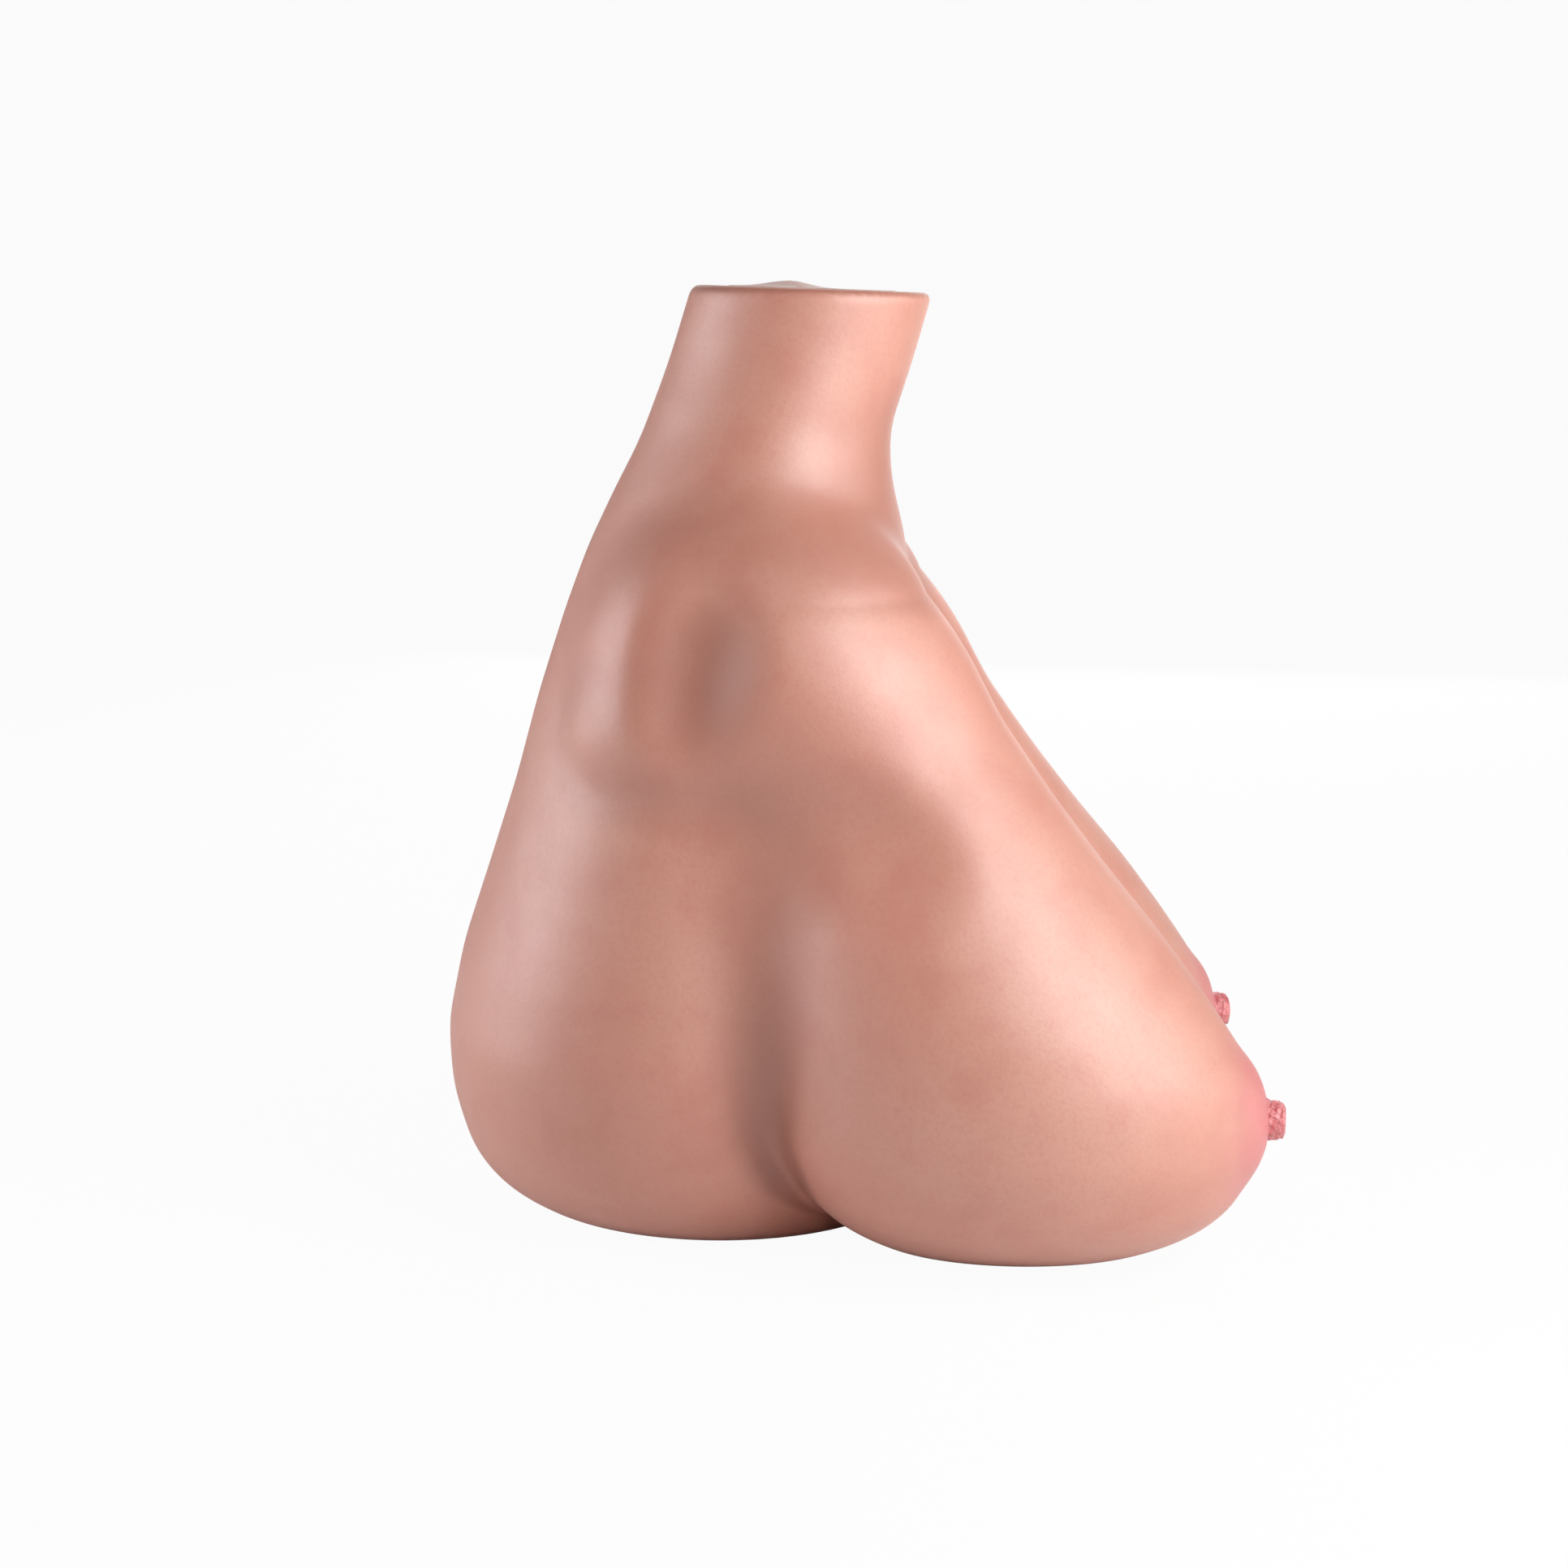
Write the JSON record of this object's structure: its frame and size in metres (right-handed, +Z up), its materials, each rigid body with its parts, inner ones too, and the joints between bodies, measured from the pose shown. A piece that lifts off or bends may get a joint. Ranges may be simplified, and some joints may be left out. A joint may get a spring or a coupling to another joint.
{
  "type": "soft torso form",
  "caption": "Life-size soft female torso form without head or arms, cut level at the neck, standing on its flat base and bust.",
  "frame": {"origin": "on the ground plane under the foot of the spine tube, in the plane of symmetry", "axes": "+Z up to the neck cut; -Y the way the chest faces; X = 0 is the plane of symmetry and +X the torso's own left"},
  "size_m": [0.337, 0.3911, 0.438],
  "materials": {
    "skin": "satin skin-coloured elastomer with a fine pore grain and faint peach and rose mottling",
    "skin_cap": "satin skin-coloured elastomer, a little greyer than the skin",
    "skin_pink": "satin rose-pink elastomer",
    "foam": "cream open-cell foam",
    "gel": "cloudy soft gel",
    "steel_tube": "drawn steel tube",
    "knob_plastic": "matt black moulded plastic",
    "clamp_aluminium": "cast aluminium",
    "screw_steel": "zinc-plated steel",
    "flange_steel": "black painted steel",
    "plywood": "birch plywood"
  },
  "bodies": {
    "root": {"body_skin": "skin", "neck_cap": "skin_cap", "nipple_left": "skin_pink", "nipple_right": "skin_pink", "foam_core_left": "foam", "foam_core_right": "foam", "breast_gel_left": "gel", "breast_gel_right": "gel", "spine_tube": "steel_tube", "shoulder_tube": "steel_tube", "shoulder_knob_left": "knob_plastic", "shoulder_knob_right": "knob_plastic", "cross_clamp": "clamp_aluminium", "clamp_screws": "screw_steel", "floor_flange": "flange_steel", "flange_screws": "screw_steel", "base_board": "plywood", "neck_plug": "plywood"}
  },
  "joints": []
}
